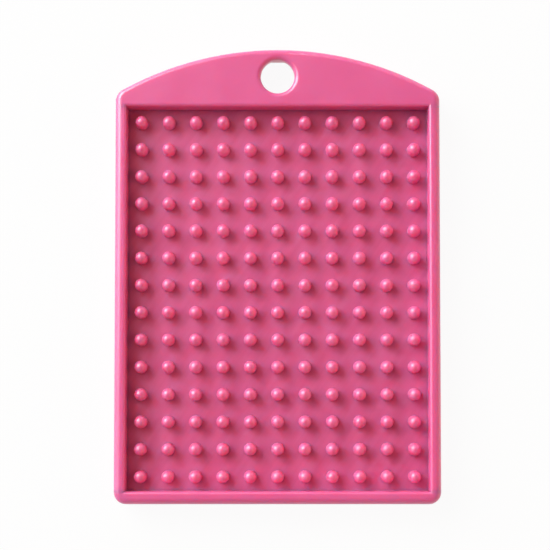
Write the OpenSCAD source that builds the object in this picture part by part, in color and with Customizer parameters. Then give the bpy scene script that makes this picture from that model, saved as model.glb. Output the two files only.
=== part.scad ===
// Mosaic peg tray: a small hanging medallion in one glossy moulding.
// It lies on its flat back with the pegs facing up, and its hanging head at the +Y end.
// The origin is the middle of the back face.

/* [Peg field] */
// Pegs across the field
columns = 11; // [3:1:24]
// Rows of pegs along the field
rows = 14; // [3:1:40]
// Distance between neighbouring pegs, one mosaic tile each
tile_pitch = 2.5; // [2:0.1:6]
// Diameter of a peg
peg_d = 1.16; // [0.6:0.02:2]
// Height of a peg from the floor to its domed tip
peg_h = 1.5; // [0.8:0.05:4]

/* [Tray] */
// Thickness of the floor
floor_t = 1; // [0.6:0.1:3]
// Depth of the field from the rim's top to the floor
field_depth = 2.1; // [1:0.1:5]
// Room that the full field of tiles has between the walls
field_clearance = 0.02; // [0:0.01:1]
// Lean of the inner wall faces in degrees
wall_draft = 1; // [0.5:0.5:8]
// Width of the rim's top at the left and right
side_rim_w = 1.02; // [0.8:0.02:3]
// Width of the rim's top at the lower end
lower_rim_w = 1.13; // [0.8:0.01:3]
// Plan radius of the two lower corners
corner_r = 1.1; // [0.4:0.1:3]

/* [Hanging head] */
// Height of the head from the field's edge to the top of its arch
head_h = 5.22; // [4.4:0.02:12]
// Rise of the arch from its shoulders to its top
arch_rise = 4.05; // [1:0.05:4.8]
// Plan radius of the two shoulders beside the arch
shoulder_r = 1.2; // [0.4:0.1:3]
// Diameter of the hanging hole
hole_d = 3.1; // [1.5:0.1:3.8]
// Distance from the top of the arch to the middle of the hole
hole_drop = 2.46; // [2.2:0.02:2.9]
// Rounding of the hole's front mouth
hole_lip_r = 0.45; // [0.1:0.05:1]
// Thickness of the front plate over the head's hollow back
plate_t = 1; // [0.6:0.05:2]
// Thickness of the walls above and below the hollow
shell_t = 0.6; // [0.4:0.05:1]
// Solid length left at each end of the hollow
hollow_end = 4; // [1:0.1:4.5]

/* [Edges] */
// Rounding of the outer edge at the front, along the sides and the lower end
front_edge_r = 0.6; // [0.1:0.05:1]
// Rounding of the outer edge at the front, along the arch
arch_edge_r = 0.45; // [0.1:0.05:0.7]
// Rounding of the outer edge at the back
back_edge_r = 0.2; // [0.05:0.05:0.5]
// Rounding of the rim's inner edge
inner_edge_r = 0.25; // [0.05:0.05:0.4]

/* [Hidden] */
$fn = 48;
plastic = [0.89, 0.4, 0.59];

// Derived places are kept to whole micrometres, so that neighbouring faces meet exactly
function micron(size) = round(1000 * size) / 1000;

// Field: its size on the floor, and at its mouth, where the leaning walls have opened it
field_w = columns * tile_pitch + field_clearance;
field_l = rows * tile_pitch + field_clearance;
wall_lean = micron(field_depth * tan(wall_draft));
mouth_w = field_w + 2 * wall_lean;
mouth_l = field_l + 2 * wall_lean;

// Body
body_t = floor_t + field_depth;
body_l = mouth_l + lower_rim_w + head_h;
side_x = micron(mouth_w / 2 + side_rim_w);
apex_y = micron(body_l / 2);
lower_y = micron(apex_y - body_l);
mouth_x = micron(mouth_w / 2);
mouth_lower_y = micron(lower_y + lower_rim_w);
mouth_upper_y = micron(mouth_lower_y + mouth_l);
floor_x = mouth_x - wall_lean;
floor_lower_y = mouth_lower_y + wall_lean;
floor_upper_y = mouth_upper_y - wall_lean;
field_y = (mouth_lower_y + mouth_upper_y) / 2;

// Edge roundings, kept smaller than the plan curves that they follow
front_r = min(front_edge_r, 0.8 * corner_r, 0.6 * side_rim_w);
back_r = min(back_edge_r, 0.8 * front_r, 0.8 * arch_edge_r);

// Arch of the head, and the middle and turn of the rounding that leads into it at each shoulder
arch_r = micron((pow(side_x, 2) + pow(arch_rise, 2)) / (2 * arch_rise));
arch_y = apex_y - arch_r;
shoulder_x = side_x - shoulder_r;
shoulder_y = arch_y + sqrt(pow(arch_r - shoulder_r, 2) - pow(shoulder_x, 2));
shoulder_turn = acos(shoulder_x / (arch_r - shoulder_r));
shoulder_steps = max(2, round(shoulder_turn / 15));

// Rounded lower corners
corner_x = side_x - corner_r;
corner_y = lower_y + corner_r;

// Hanging hole, and the least width of plain wall round it
hole_y = apex_y - hole_drop;
hole_r = hole_d / 2;
hole_wall = min(hole_drop - arch_edge_r, head_h - hole_drop - inner_edge_r) - hole_r;
lip_r = micron(min(hole_lip_r, 0.9 * hole_wall, 0.6 * plate_t));
ring_w = micron(1.05 * lip_r);

// Inner edge of the rim: the centre of its rounding, taken from the mouth's edge, and the rounding's points
edge_steps = 12;
edge_u = -inner_edge_r * (1 - sin(wall_draft)) / cos(wall_draft);
edge_z = body_t - inner_edge_r;
function edge_point(angle) = [
    micron(edge_u + inner_edge_r * cos(angle)),
    micron(edge_z + inner_edge_r * sin(angle))
];

// Pegs
peg_r = peg_d / 2;
first_peg_x = -(columns - 1) * tile_pitch / 2;
first_peg_y = field_y + (rows - 1) * tile_pitch / 2;

function row_name(row) = str("peg_row_", row < 10 ? "0" : "", row);

// Wedge of a disc, from one angle to another
module pie(r, from_angle, to_angle) {
    reach = 2 * r;
    middle = (from_angle + to_angle) / 2;
    intersection() {
        circle(r);
        polygon([
            [0, 0],
            reach * [cos(from_angle), sin(from_angle)],
            reach * [cos(middle), sin(middle)],
            reach * [cos(to_angle), sin(to_angle)]
        ]);
    }
}

// Section of the tray from its middle to an outer edge at x = reach, rounded at the back and the front
module edge_section(reach, edge_r) {
    translate([0, back_r])
        square([reach, body_t - edge_r - back_r]);
    square([reach - back_r, back_r]);
    translate([0, body_t - edge_r])
        square([reach - edge_r, edge_r]);
    translate([reach - back_r, back_r])
        pie(back_r, -90, 0);
    translate([reach - edge_r, body_t - edge_r])
        pie(edge_r, 0, 90);
}

// Disc with rounded edges, whole or part of a turn
module edge_disc(r, edge_r, turn = 360) {
    rotate_extrude(angle = turn)
        edge_section(r, edge_r);
}

// Straight stretch of the tray between two places along its length, with rounded sides
module side_form(from_y, to_y) {
    translate([0, to_y, 0])
        rotate([90, 0, 0])
            linear_extrude(to_y - from_y) {
                edge_section(side_x, front_r);
                mirror([1, 0])
                    edge_section(side_x, front_r);
            }
}

// Lower end of the tray: a rounded straight edge between two rounded corners
module lower_form() {
    side_form(corner_y, mouth_upper_y);
    translate([corner_x, corner_y, 0])
        rotate([90, 0, -90])
            linear_extrude(2 * corner_x)
                edge_section(corner_r, front_r);
    for (side = [0, 1])
        mirror([side, 0, 0])
            translate([corner_x, corner_y, 0])
                rotate([0, 0, -90])
                    edge_disc(corner_r, front_r, 90);
}

// Upper end of the tray: straight sides under an arch, with shoulders cut by discs about the centre line
module head_form() {
    intersection() {
        side_form(mouth_lower_y, apex_y);
        translate([0, arch_y, 0])
            edge_disc(arch_r, arch_edge_r, $fn = 360);
        intersection_for (step = [1 : shoulder_steps - 1]) {
            share = step / shoulder_steps;
            turn = share * shoulder_turn;
            edge_r = micron((1 - share) * front_r + share * arch_edge_r);
            translate([0, micron(shoulder_y - shoulder_x * tan(turn)), 0])
                edge_disc(micron(shoulder_x / cos(turn) + shoulder_r), edge_r, $fn = 360);
        }
    }
}

// Section of a wall from its leaning inner face outwards, with x zero at the mouth's edge
module wall_section() {
    outward = 2 * side_x;
    foot = [[-outward, 0], [wall_lean, 0], [wall_lean, floor_t]];
    rounding = [for (step = [0 : edge_steps]) edge_point(wall_draft + step * (90 - wall_draft) / edge_steps)];
    polygon(concat(foot, rounding, [[-outward, body_t]]));
}

// Endless walls, which the outer form then trims
module left_run() {
    translate([-mouth_x, 2 * apex_y, 0])
        rotate([90, 0, 0])
            linear_extrude(4 * apex_y)
                wall_section();
}

module right_run() {
    mirror([1, 0, 0])
        left_run();
}

module lower_run() {
    translate([-2 * side_x, mouth_lower_y, 0])
        rotate([90, 0, 90])
            linear_extrude(4 * side_x)
                wall_section();
}

module upper_run() {
    translate([-2 * side_x, mouth_upper_y, 0])
        mirror([0, 1, 0])
            rotate([90, 0, 90])
                linear_extrude(4 * side_x)
                    wall_section();
}

// Slab over the whole width between two places along the length
module stretch(from_y, to_y) {
    translate([-2 * side_x, from_y, 0])
        cube([4 * side_x, to_y - from_y, body_t]);
}

module left_wall() {
    color(plastic)
        intersection() {
            lower_form();
            stretch(floor_lower_y, floor_upper_y);
            left_run();
        }
}

module right_wall() {
    color(plastic)
        intersection() {
            lower_form();
            stretch(floor_lower_y, floor_upper_y);
            right_run();
        }
}

module lower_wall() {
    color(plastic)
        intersection() {
            lower_form();
            stretch(2 * lower_y, floor_lower_y);
            union() {
                left_run();
                right_run();
                lower_run();
            }
        }
}

// Surround of the hanging hole: a ring with its front inner edge rounded
module hole_ring() {
    translate([0, hole_y, 0])
        rotate_extrude() {
            translate([hole_r, 0])
                square([ring_w, body_t - lip_r]);
            translate([hole_r + lip_r, 0])
                square([ring_w - lip_r, body_t]);
            translate([hole_r + lip_r, body_t - lip_r])
                pie(lip_r, 90, 180);
        }
}

// Hollow that opens at the back of the head, under its front plate
module head_hollow() {
    hollow_x = side_x - hollow_end;
    hollow_y = mouth_upper_y + shell_t;
    hollow_z = body_t - plate_t;
    intersection() {
        translate([-hollow_x, hollow_y, -body_t])
            cube([2 * hollow_x, head_h, body_t + hollow_z]);
        translate([0, arch_y, -body_t])
            cylinder(h = 3 * body_t, r = arch_r - shell_t, $fn = 360);
    }
}

module hanging_head() {
    color(plastic)
        difference() {
            union() {
                difference() {
                    intersection() {
                        head_form();
                        stretch(floor_upper_y, 2 * apex_y);
                        union() {
                            left_run();
                            right_run();
                            upper_run();
                        }
                    }
                    translate([0, hole_y, -body_t])
                        cylinder(h = 3 * body_t, r = hole_r + lip_r);
                }
                hole_ring();
            }
            head_hollow();
        }
}

module floor_panel() {
    color(plastic)
        translate([-floor_x, floor_lower_y, 0])
            cube([2 * floor_x, floor_upper_y - floor_lower_y, floor_t]);
}

// Peg with a straight shank and a domed tip
module peg() {
    rotate_extrude() {
        square([peg_r, peg_h - peg_r]);
        translate([0, peg_h - peg_r])
            pie(peg_r, 0, 90);
    }
}

// One row of pegs, counted from the head downwards
module peg_row(row) {
    color(plastic)
        for (column = [0 : columns - 1])
            translate([
                first_peg_x + column * tile_pitch,
                first_peg_y - (row - 1) * tile_pitch,
                floor_t
            ])
                peg();
}

floor_panel();
left_wall();
right_wall();
lower_wall();
hanging_head();
for (row = [1 : rows])
    peg_row(row);
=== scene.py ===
import math

import bmesh
import bpy
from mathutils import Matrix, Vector


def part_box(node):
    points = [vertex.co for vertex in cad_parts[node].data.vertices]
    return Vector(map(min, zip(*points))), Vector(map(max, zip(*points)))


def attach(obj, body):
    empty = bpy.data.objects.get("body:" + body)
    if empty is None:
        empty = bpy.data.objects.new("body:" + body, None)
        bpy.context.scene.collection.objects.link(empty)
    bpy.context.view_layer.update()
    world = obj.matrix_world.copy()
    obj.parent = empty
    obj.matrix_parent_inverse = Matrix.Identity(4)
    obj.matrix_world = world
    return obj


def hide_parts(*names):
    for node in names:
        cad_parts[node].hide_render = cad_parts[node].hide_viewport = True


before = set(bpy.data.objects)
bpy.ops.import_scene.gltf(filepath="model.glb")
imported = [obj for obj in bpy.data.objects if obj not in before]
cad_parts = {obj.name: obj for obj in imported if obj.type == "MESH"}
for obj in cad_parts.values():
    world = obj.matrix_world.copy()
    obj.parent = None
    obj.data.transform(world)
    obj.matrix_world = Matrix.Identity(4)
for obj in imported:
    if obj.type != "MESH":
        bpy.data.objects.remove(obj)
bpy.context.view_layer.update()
scene = bpy.context.scene
scene.view_settings.view_transform = "Standard"
bpy.ops.object.select_all(action="DESELECT")

# The camera: it looks down on the front from about 15 cm away.
# It stands over the lower half of the tray and leans towards the head, so that the upper inner wall and the
# undersides of the upper pegs show.
CAMERA_PLACE = (0.000811, -0.01184, 0.1531)
CAMERA_TILT = math.radians(3)
LENS_MM = 108.49
SENSOR_MM = 36
SHIFT_X = -0.0208
SHIFT_Y = 0.08
NEAREST = 0.005
FARTHEST = 5

camera_data = bpy.data.cameras.new("camera")
camera_data.lens = LENS_MM
camera_data.sensor_width = SENSOR_MM
camera_data.shift_x = SHIFT_X
camera_data.shift_y = SHIFT_Y
camera_data.clip_start = NEAREST
camera_data.clip_end = FARTHEST
camera = bpy.data.objects.new("camera", camera_data)
camera.location = CAMERA_PLACE
camera.rotation_euler = (CAMERA_TILT, 0, 0)
scene.collection.objects.link(camera)
scene.camera = camera

# The floor panel: the flat plate that carries the pegs, and the tray's plain back.
# It is glossy translucent pink plastic, moulded in one shot with the walls, the head and the pegs.
# Faint slanting streaks show how the plastic flowed.
MILLIMETRE = 0.001
PLASTIC_IOR = 1.65
PLASTIC_SPECULAR = 1
CLOUD_SCALE = 260
CLOUD_DETAIL = 2
STREAK_TURN = math.radians(55)
STREAK_SIZE = (0.008, 0.0006, 0.003)
STREAK_DETAIL = 4
STREAK_BREAKUP = 0.6
DEEP_BELOW = 0.35
PALE_ABOVE = 0.65
SMOOTH_BELOW = 0.3
DULL_ABOVE = 0.7
SMOOTHEST = 0.29
DULLEST = 0.35
SKIN_SCALE = 1600
SKIN_DETAIL = 2
SKIN_STRENGTH = 0.1
SKIN_DEPTH = 0.00004


def pink_plastic(name, deep, pale, glow, streaks):
    """Glossy translucent plastic: its pigment clouds from deep to pale, at a level that each caller sets,
    darker on the floor as painted shade and brighter on the pegs as painted light; light spreads glow
    millimetres into it, and flow streaks of the given strength cross it."""
    material = bpy.data.materials.new(name)
    material.use_nodes = True
    nodes = material.node_tree.nodes
    links = material.node_tree.links
    shader = nodes["Principled BSDF"]
    shader.subsurface_method = "RANDOM_WALK"
    shader.inputs["Subsurface Weight"].default_value = 1
    shader.inputs["Subsurface Radius"].default_value = glow
    shader.inputs["Subsurface Scale"].default_value = MILLIMETRE
    shader.inputs["IOR"].default_value = PLASTIC_IOR
    shader.inputs["Specular IOR Level"].default_value = PLASTIC_SPECULAR

    place = nodes.new("ShaderNodeTexCoord")
    cloud = nodes.new("ShaderNodeTexNoise")
    cloud.inputs["Scale"].default_value = CLOUD_SCALE
    cloud.inputs["Detail"].default_value = CLOUD_DETAIL
    links.new(place.outputs["Object"], cloud.inputs["Vector"])

    slant = nodes.new("ShaderNodeMapping")
    slant.vector_type = "TEXTURE"
    slant.inputs["Rotation"].default_value = (0, 0, STREAK_TURN)
    slant.inputs["Scale"].default_value = STREAK_SIZE
    links.new(place.outputs["Object"], slant.inputs["Vector"])
    streak = nodes.new("ShaderNodeTexNoise")
    streak.inputs["Scale"].default_value = 1
    streak.inputs["Detail"].default_value = STREAK_DETAIL
    streak.inputs["Roughness"].default_value = STREAK_BREAKUP
    links.new(slant.outputs["Vector"], streak.inputs["Vector"])

    blend = nodes.new("ShaderNodeMix")
    blend.data_type = "FLOAT"
    blend.inputs["Factor"].default_value = streaks
    links.new(cloud.outputs["Fac"], blend.inputs["A"])
    links.new(streak.outputs["Fac"], blend.inputs["B"])

    pigment = nodes.new("ShaderNodeValToRGB")
    pigment.color_ramp.elements[0].position = DEEP_BELOW
    pigment.color_ramp.elements[0].color = (*deep, 1)
    pigment.color_ramp.elements[1].position = PALE_ABOVE
    pigment.color_ramp.elements[1].color = (*pale, 1)
    links.new(blend.outputs["Result"], pigment.inputs["Fac"])
    links.new(pigment.outputs["Color"], shader.inputs["Base Color"])

    gloss = nodes.new("ShaderNodeMapRange")
    gloss.inputs["From Min"].default_value = SMOOTH_BELOW
    gloss.inputs["From Max"].default_value = DULL_ABOVE
    gloss.inputs["To Min"].default_value = SMOOTHEST
    gloss.inputs["To Max"].default_value = DULLEST
    links.new(blend.outputs["Result"], gloss.inputs["Value"])
    links.new(gloss.outputs["Result"], shader.inputs["Roughness"])

    skin = nodes.new("ShaderNodeTexNoise")
    skin.inputs["Scale"].default_value = SKIN_SCALE
    skin.inputs["Detail"].default_value = SKIN_DETAIL
    links.new(place.outputs["Object"], skin.inputs["Vector"])
    bump = nodes.new("ShaderNodeBump")
    bump.inputs["Strength"].default_value = SKIN_STRENGTH
    bump.inputs["Distance"].default_value = SKIN_DEPTH
    links.new(skin.outputs["Fac"], bump.inputs["Height"])
    links.new(bump.outputs["Normal"], shader.inputs["Normal"])
    return material


def dress(node, material):
    """Gives a solid of the frame its finish."""
    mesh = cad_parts[node].data
    mesh.materials.clear()
    mesh.materials.append(material)


# The floor's pink is set darker than the walls' and the pegs', though all are one plastic: painted shade for
# the sunken field, which the walls and pegs shadow.
FLOOR_SHADED_DEEP = (0.765, 0.125, 0.335)
FLOOR_SHADED_PALE = (0.84, 0.172, 0.41)
FLOOR_GLOW = (1.5, 0.1, 0.1)
FLOOR_STREAKS = 0.75
floor_plastic = pink_plastic("streaked_pink_plastic", FLOOR_SHADED_DEEP, FLOOR_SHADED_PALE, FLOOR_GLOW, FLOOR_STREAKS)
dress("floor_panel", floor_plastic)

# The side walls: the two long sides of the raised rim, moulded with the floor in the same pink plastic.
# Their outer edges are broadly rounded and polished, and their inner faces lean a little, to leave the mould.
RIM_DEEP = (0.855, 0.147, 0.39)
RIM_PALE = (0.885, 0.157, 0.41)
RIM_GLOW = (0.55, 0.14, 0.14)
RIM_STREAKS = 0.1
rim_plastic = pink_plastic("rim_pink_plastic", RIM_DEEP, RIM_PALE, RIM_GLOW, RIM_STREAKS)
dress("left_wall", rim_plastic)
dress("right_wall", rim_plastic)

# The lower wall: the end wall away from the head, with the tray's two rounded lower corners.
# It is moulded in one with the side walls, and takes their rounded outer edge round both corners.
dress("lower_wall", rim_plastic)

# The hanging head: the arched end wall, with the lipped round hole that the tray hangs from.
# It is moulded in one with the side walls, as a front plate with a hollow back.
dress("hanging_head", rim_plastic)

# The pegs: short round posts with domed tips, moulded with the floor, which hold one push-on tile each.
# Every post widens into a small fillet at its foot and narrows a little towards its tip, to leave the mould.
# Three of them, low in the seventh column, are pressed flat on the right of the tip.
PEG_SIDES = 12
PEG_HEIGHT = 0.0015
FOOT_RADIUS = 0.00061
SHANK_RADIUS = 0.00059
DOME_RADIUS = 0.00057
FOOT_HEIGHT = 0.00012
DOME_TURNS = (0, 27, 53, 76)
SHARP_ANGLE = math.radians(60)


def select_top(mesh):
    """Selects the highest face of the mesh in edit mode."""
    shape = bmesh.from_edit_mesh(mesh)
    top = max(shape.faces, key=lambda face: face.calc_center_median().z)
    bpy.ops.mesh.select_all(action="DESELECT")
    top.select_set(True)
    bmesh.update_edit_mesh(mesh)


def model_peg():
    """Models one peg at the origin, with its foot at z = 0."""
    bpy.ops.object.select_all(action="DESELECT")
    bpy.ops.mesh.primitive_cylinder_add(
        vertices=PEG_SIDES, radius=FOOT_RADIUS, depth=FOOT_HEIGHT, location=(0, 0, FOOT_HEIGHT / 2)
    )
    peg = bpy.context.object
    bpy.ops.object.transform_apply(location=True)
    bpy.ops.object.mode_set(mode="EDIT")
    bpy.ops.mesh.select_mode(type="FACE")
    select_top(peg.data)
    bpy.ops.transform.resize(value=(SHANK_RADIUS / FOOT_RADIUS, SHANK_RADIUS / FOOT_RADIUS, 1))
    radius, height = SHANK_RADIUS, FOOT_HEIGHT
    for turn in DOME_TURNS:
        new_radius = DOME_RADIUS * math.cos(math.radians(turn))
        new_height = PEG_HEIGHT - DOME_RADIUS * (1 - math.sin(math.radians(turn)))
        bpy.ops.mesh.extrude_region_move(TRANSFORM_OT_translate={"value": (0, 0, new_height - height)})
        bpy.ops.transform.resize(value=(new_radius / radius, new_radius / radius, 1))
        radius, height = new_radius, new_height
    bpy.ops.object.mode_set(mode="OBJECT")
    bpy.ops.object.shade_smooth_by_angle(angle=SHARP_ANGLE)
    return peg


FLAT_NORMAL = Vector((0.45, -0.15, 0.88)).normalized()
FLAT_DEPTH = 0.0001
CUT_TOLERANCE = 1e-7


def press_flat(peg):
    """Cuts a slanting flat into the tip of the peg."""
    bpy.ops.object.select_all(action="DESELECT")
    peg.select_set(True)
    bpy.context.view_layer.objects.active = peg
    bpy.ops.object.mode_set(mode="EDIT")
    bpy.ops.mesh.select_all(action="SELECT")
    dome_centre = Vector((0, 0, PEG_HEIGHT - DOME_RADIUS))
    cut = dome_centre + FLAT_NORMAL * (DOME_RADIUS - FLAT_DEPTH)
    bpy.ops.mesh.bisect(
        plane_co=cut, plane_no=FLAT_NORMAL, use_fill=True, clear_outer=True, threshold=CUT_TOLERANCE
    )
    bpy.ops.object.mode_set(mode="OBJECT")


# The pegs' pink is set brighter than the walls' and the floor's, though all are one plastic: painted light on
# the raised posts, which also makes up for light that their glow loses through their feet.
PEG_LIT_DEEP = (0.97, 0.17, 0.4)
PEG_LIT_PALE = (0.99, 0.185, 0.425)
PEG_GLOW = (0.6, 0.12, 0.12)
PEG_STREAKS = 0.1
peg_plastic = pink_plastic("peg_pink_plastic", PEG_LIT_DEEP, PEG_LIT_PALE, PEG_GLOW, PEG_STREAKS)
peg = model_peg()
peg.data.materials.append(peg_plastic)
flat_peg = peg.copy()
flat_peg.data = peg.data.copy()
scene.collection.objects.link(flat_peg)
press_flat(flat_peg)

COLUMNS = 11
FLAT_COLUMN = 6
FLAT_ROWS = ("peg_row_11", "peg_row_12", "peg_row_13")
row_names = sorted(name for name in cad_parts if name.startswith("peg_row_"))
for row_name in row_names:
    low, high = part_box(row_name)
    peg_radius = (high[1] - low[1]) / 2
    pitch = (high[0] - low[0] - 2 * peg_radius) / (COLUMNS - 1)
    row_y = (low[1] + high[1]) / 2
    copies = []
    for column in range(COLUMNS):
        model = flat_peg if column == FLAT_COLUMN and row_name in FLAT_ROWS else peg
        copy = model.copy()
        copy.data = model.data.copy()
        copy.location = (low[0] + peg_radius + column * pitch, row_y, low[2])
        scene.collection.objects.link(copy)
        copies.append(copy)
    bpy.ops.object.select_all(action="DESELECT")
    for copy in copies:
        copy.select_set(True)
    bpy.context.view_layer.objects.active = copies[0]
    bpy.ops.object.join()
    row = bpy.context.object
    row.name = "moulded_" + row_name
    bpy.ops.object.transform_apply(location=True)
    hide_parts(row_name)
    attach(row, "root")
bpy.data.objects.remove(peg)
bpy.data.objects.remove(flat_peg)

# The ground: a plain white sheet that the tray lies on.
# It shows white to the eye and in the plastic's gloss, and keeps a faint shadow.
GROUND_SIZE = 2
GROUND_DROP = 0.00005
GROUND_WHITE = (0.85, 0.85, 0.85, 1)
GROUND_ROUGHNESS = 0.9
GROUND_GLOW_SHARE = 0.94

bpy.ops.object.select_all(action="DESELECT")
bpy.ops.mesh.primitive_plane_add(size=GROUND_SIZE, location=(0, 0, -GROUND_DROP))
ground = bpy.context.object
ground.name = "ground"
paper = bpy.data.materials.new("white_ground")
paper.use_nodes = True
paper_nodes = paper.node_tree.nodes
paper_links = paper.node_tree.links
matt = paper_nodes["Principled BSDF"]
matt.inputs["Base Color"].default_value = GROUND_WHITE
matt.inputs["Roughness"].default_value = GROUND_ROUGHNESS
white_glow = paper_nodes.new("ShaderNodeEmission")
white_glow.inputs["Strength"].default_value = 1
path = paper_nodes.new("ShaderNodeLightPath")
seen = paper_nodes.new("ShaderNodeMath")
seen.operation = "ADD"
paper_links.new(path.outputs["Is Camera Ray"], seen.inputs[0])
paper_links.new(path.outputs["Is Glossy Ray"], seen.inputs[1])
seen_through = paper_nodes.new("ShaderNodeMath")
seen_through.operation = "ADD"
seen_through.use_clamp = True
paper_links.new(seen.outputs[0], seen_through.inputs[0])
paper_links.new(path.outputs["Is Transmission Ray"], seen_through.inputs[1])
share = paper_nodes.new("ShaderNodeMath")
share.operation = "MULTIPLY"
share.inputs[1].default_value = GROUND_GLOW_SHARE
paper_links.new(seen_through.outputs[0], share.inputs[0])
mix = paper_nodes.new("ShaderNodeMixShader")
paper_links.new(share.outputs[0], mix.inputs["Fac"])
paper_links.new(matt.outputs[0], mix.inputs[1])
paper_links.new(white_glow.outputs[0], mix.inputs[2])
paper_links.new(mix.outputs[0], paper_nodes["Material Output"].inputs["Surface"])
ground.data.materials.append(paper)

# The room: bright all round and darker overhead and on the near side, with a broad window at the upper left.
# The levels of its light go from the horizon, at height 0, to straight overhead, at 1.
ROOM_LIGHT = ((0, 0.78), (0.3, 0.56), (0.6, 0.25), (0.94, 0.06))
NEAR_SIDE_FULL = -0.9
NEAR_SIDE_ENDS = 0.2
NEAR_SIDE_SHARE = 0.6
WINDOW_SIDE = (-0.727, 0.468, 0.5)
WINDOW_EDGE = 0.64
WINDOW_CORE = 0.94
WINDOW_LIGHT = 1.1

world = bpy.data.worlds.new("studio")
world.use_nodes = True
room_nodes = world.node_tree.nodes
room_links = world.node_tree.links
toward = room_nodes.new("ShaderNodeTexCoord")
split = room_nodes.new("ShaderNodeSeparateXYZ")
room_links.new(toward.outputs["Generated"], split.inputs["Vector"])
dome = room_nodes.new("ShaderNodeValToRGB")
stops = dome.color_ramp.elements
while len(stops) < len(ROOM_LIGHT):
    stops.new(0.5)
for stop, (height, level) in zip(stops, ROOM_LIGHT):
    stop.position = height
    stop.color = (level, level, level, 1)
room_links.new(split.outputs["Z"], dome.inputs["Fac"])
window = room_nodes.new("ShaderNodeVectorMath")
window.operation = "DOT_PRODUCT"
window.inputs[1].default_value = WINDOW_SIDE
room_links.new(toward.outputs["Generated"], window.inputs[0])
pane = room_nodes.new("ShaderNodeMapRange")
pane.interpolation_type = "SMOOTHSTEP"
pane.inputs["From Min"].default_value = WINDOW_EDGE
pane.inputs["From Max"].default_value = WINDOW_CORE
pane.inputs["To Max"].default_value = WINDOW_LIGHT
room_links.new(window.outputs["Value"], pane.inputs["Value"])
near_side = room_nodes.new("ShaderNodeMapRange")
near_side.inputs["From Min"].default_value = NEAR_SIDE_FULL
near_side.inputs["From Max"].default_value = NEAR_SIDE_ENDS
near_side.inputs["To Min"].default_value = NEAR_SIDE_SHARE
near_side.inputs["To Max"].default_value = 1
room_links.new(split.outputs["Y"], near_side.inputs["Value"])
room = room_nodes.new("ShaderNodeMath")
room.operation = "MULTIPLY"
room_links.new(dome.outputs["Color"], room.inputs[0])
room_links.new(near_side.outputs["Result"], room.inputs[1])
both = room_nodes.new("ShaderNodeMath")
both.operation = "ADD"
room_links.new(room.outputs[0], both.inputs[0])
room_links.new(pane.outputs["Result"], both.inputs[1])
room_links.new(both.outputs[0], room_nodes["Background"].inputs["Strength"])
room_nodes["Background"].inputs["Color"].default_value = (1, 1, 1, 1)
scene.world = world

# The lamps: a soft box at the upper left, low over the table, and a warm reflector on the right.
# The reflector tints the light inside the plastic and is kept out of its gloss.
LAMP_DISTANCE = 0.35


def hang_lamp(name, size, power, direction, slant):
    """Hangs a square lamp that faces the tray, on the side that direction gives, at an angle from upright."""
    lamp_data = bpy.data.lights.new(name, "AREA")
    lamp_data.shape = "SQUARE"
    lamp_data.size = size
    lamp_data.energy = power
    lamp = bpy.data.objects.new(name, lamp_data)
    side = direction.normalized() * LAMP_DISTANCE * math.sin(slant)
    lamp.location = (side.x, side.y, LAMP_DISTANCE * math.cos(slant))
    lamp.rotation_euler = (-lamp.location).to_track_quat("-Z", "Y").to_euler()
    scene.collection.objects.link(lamp)
    return lamp


KEY_SIZE = 0.26
KEY_POWER = 1.12
KEY_DIRECTION = Vector((-0.8, 0.6))
KEY_SLANT = math.radians(54)
hang_lamp("key", KEY_SIZE, KEY_POWER, KEY_DIRECTION, KEY_SLANT)

REFLECTOR_SIZE = 0.25
REFLECTOR_POWER = 0.33
REFLECTOR_DIRECTION = Vector((1, -0.15))
REFLECTOR_SLANT = math.radians(62)
REFLECTOR_COLOUR = (1, 0.55, 0.2)
reflector = hang_lamp("reflector", REFLECTOR_SIZE, REFLECTOR_POWER, REFLECTOR_DIRECTION, REFLECTOR_SLANT)
reflector.data.color = REFLECTOR_COLOUR
reflector.visible_glossy = False
